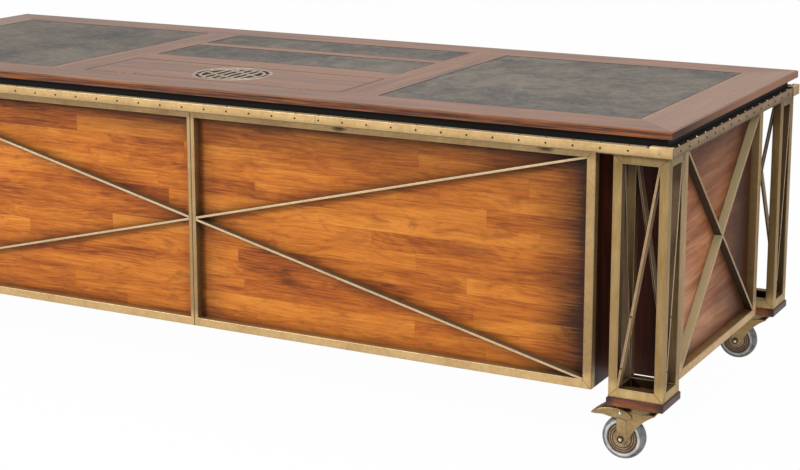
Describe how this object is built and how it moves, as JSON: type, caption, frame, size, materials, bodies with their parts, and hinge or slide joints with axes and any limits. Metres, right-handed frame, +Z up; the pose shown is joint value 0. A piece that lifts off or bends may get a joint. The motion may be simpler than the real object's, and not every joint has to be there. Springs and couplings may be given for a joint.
{
  "type": "campaign desk",
  "caption": "Long wood and brass campaign desk with leather insets and a lidded well in the top, two drawer pedestals, and braced corner towers on swivel casters.",
  "frame": {"origin": "on the floor under the middle of the top", "axes": "+X along the desk's length to the sitter's left as they face the desk, +Y from the visitor's panelled side to the sitter's side with the kneehole and the drawers, +Z up"},
  "size_m": [2.496, 0.96, 0.7635],
  "materials": {
    "top_wood": "polished reddish-brown hardwood",
    "leather": "dark grey-brown smooth desk leather",
    "black_band": "ebonised, satin",
    "deck_wood": "plain varnished board",
    "brass": "aged and lightly brushed",
    "panel_wood": "warm orange-brown staves, polished, edges burnished dark",
    "end_wood": "polished reddish-brown veneer",
    "dark_wood": "polished dark reddish-brown",
    "wheel_metal": "turned disc, brown with age",
    "tyre": "grey rubber, matt"
  },
  "bodies": {
    "desk": {"band": "black_band", "case_left": "dark_wood", "case_right": "dark_wood", "caster_plates": "brass", "corner_caps": "brass", "deck": "deck_wood", "end_braces": "brass", "end_frame_left": "brass", "end_frame_right": "brass", "end_panel_left": "end_wood", "end_panel_right": "end_wood", "front_braces": "brass", "front_frame_left": "brass", "front_frame_right": "brass", "front_panel_left": "panel_wood", "front_panel_right": "panel_wood", "hinge_fixed_leaves": "brass", "leather_left": "leather", "leather_right": "leather", "leather_strips": "leather", "plinths": "dark_wood", "rail_front": "brass", "rail_left": "brass", "rail_rear": "brass", "rail_right": "brass", "rear_frame_left": "brass", "rear_frame_right": "brass", "top_frame": "top_wood", "tower_braces": "brass", "tower_front_left": "brass", "tower_front_right": "brass", "tower_rear_left": "brass", "tower_rear_right": "brass"},
    "lid": {"lid": "top_wood", "lid_medallion": "brass", "hinge_lid_leaves": "brass"},
    "drawer_lower_right": {"drawer_lower_right": "panel_wood", "pull_lower_right": "brass"},
    "drawer_upper_right": {"drawer_upper_right": "panel_wood", "pull_upper_right": "brass"},
    "drawer_lower_left": {"drawer_lower_left": "panel_wood", "pull_lower_left": "brass"},
    "drawer_upper_left": {"drawer_upper_left": "panel_wood", "pull_upper_left": "brass"},
    "swivel_front_left": {"fork_front_left": "brass"},
    "wheel_front_left": {"wheel_front_left": "wheel_metal", "tyre_front_left": "tyre"},
    "brake_front_left": {"pedal_front_left": "brass"},
    "swivel_front_right": {"fork_front_right": "brass"},
    "wheel_front_right": {"wheel_front_right": "wheel_metal", "tyre_front_right": "tyre"},
    "brake_front_right": {"pedal_front_right": "brass"},
    "swivel_rear_left": {"fork_rear_left": "brass"},
    "wheel_rear_left": {"wheel_rear_left": "wheel_metal", "tyre_rear_left": "tyre"},
    "swivel_rear_right": {"fork_rear_right": "brass"},
    "wheel_rear_right": {"wheel_rear_right": "wheel_metal", "tyre_rear_right": "tyre"}
  },
  "joints": [
    {"name": "lid_hinge", "type": "hinge", "parent": "desk", "child": "lid", "pos_m": [0, -0.36175, 0.761], "axis": [1, 0, 0], "range_deg": [0, 95]},
    {"name": "drawer_lower_right_slide", "type": "slide", "parent": "desk", "child": "drawer_lower_right", "axis": [0, 1, 0], "range_m": [0, 0.48]},
    {"name": "drawer_upper_right_slide", "type": "slide", "parent": "desk", "child": "drawer_upper_right", "axis": [0, 1, 0], "range_m": [0, 0.48]},
    {"name": "drawer_lower_left_slide", "type": "slide", "parent": "desk", "child": "drawer_lower_left", "axis": [0, 1, 0], "range_m": [0, 0.48]},
    {"name": "drawer_upper_left_slide", "type": "slide", "parent": "desk", "child": "drawer_upper_left", "axis": [0, 1, 0], "range_m": [0, 0.48]},
    {"name": "swivel_front_left", "type": "hinge", "parent": "desk", "child": "swivel_front_left", "pos_m": [-1.1725, -0.4145, 0.12], "axis": [0, 0, 1], "continuous": true},
    {"name": "roll_front_left", "type": "hinge", "parent": "swivel_front_left", "child": "wheel_front_left", "pos_m": [-1.1305, -0.4145, 0.05], "axis": [0, 1, 0], "continuous": true},
    {"name": "brake_front_left", "type": "hinge", "parent": "swivel_front_left", "child": "brake_front_left", "pos_m": [-1.1285, -0.4145, 0.111], "axis": [0, 1, 0], "range_deg": [0, 6]},
    {"name": "swivel_front_right", "type": "hinge", "parent": "desk", "child": "swivel_front_right", "pos_m": [1.1725, -0.4145, 0.12], "axis": [0, 0, 1], "continuous": true},
    {"name": "roll_front_right", "type": "hinge", "parent": "swivel_front_right", "child": "wheel_front_right", "pos_m": [1.1305, -0.4145, 0.05], "axis": [0, 1, 0], "continuous": true},
    {"name": "brake_front_right", "type": "hinge", "parent": "swivel_front_right", "child": "brake_front_right", "pos_m": [1.1285, -0.4145, 0.111], "axis": [0, -1, 0], "range_deg": [0, 6]},
    {"name": "swivel_rear_left", "type": "hinge", "parent": "desk", "child": "swivel_rear_left", "pos_m": [-1.1725, 0.4145, 0.12], "axis": [0, 0, 1], "continuous": true},
    {"name": "roll_rear_left", "type": "hinge", "parent": "swivel_rear_left", "child": "wheel_rear_left", "pos_m": [-1.1305, 0.4145, 0.05], "axis": [0, 1, 0], "continuous": true},
    {"name": "swivel_rear_right", "type": "hinge", "parent": "desk", "child": "swivel_rear_right", "pos_m": [1.1725, 0.4145, 0.12], "axis": [0, 0, 1], "continuous": true},
    {"name": "roll_rear_right", "type": "hinge", "parent": "swivel_rear_right", "child": "wheel_rear_right", "pos_m": [1.1305, 0.4145, 0.05], "axis": [0, 1, 0], "continuous": true}
  ]
}
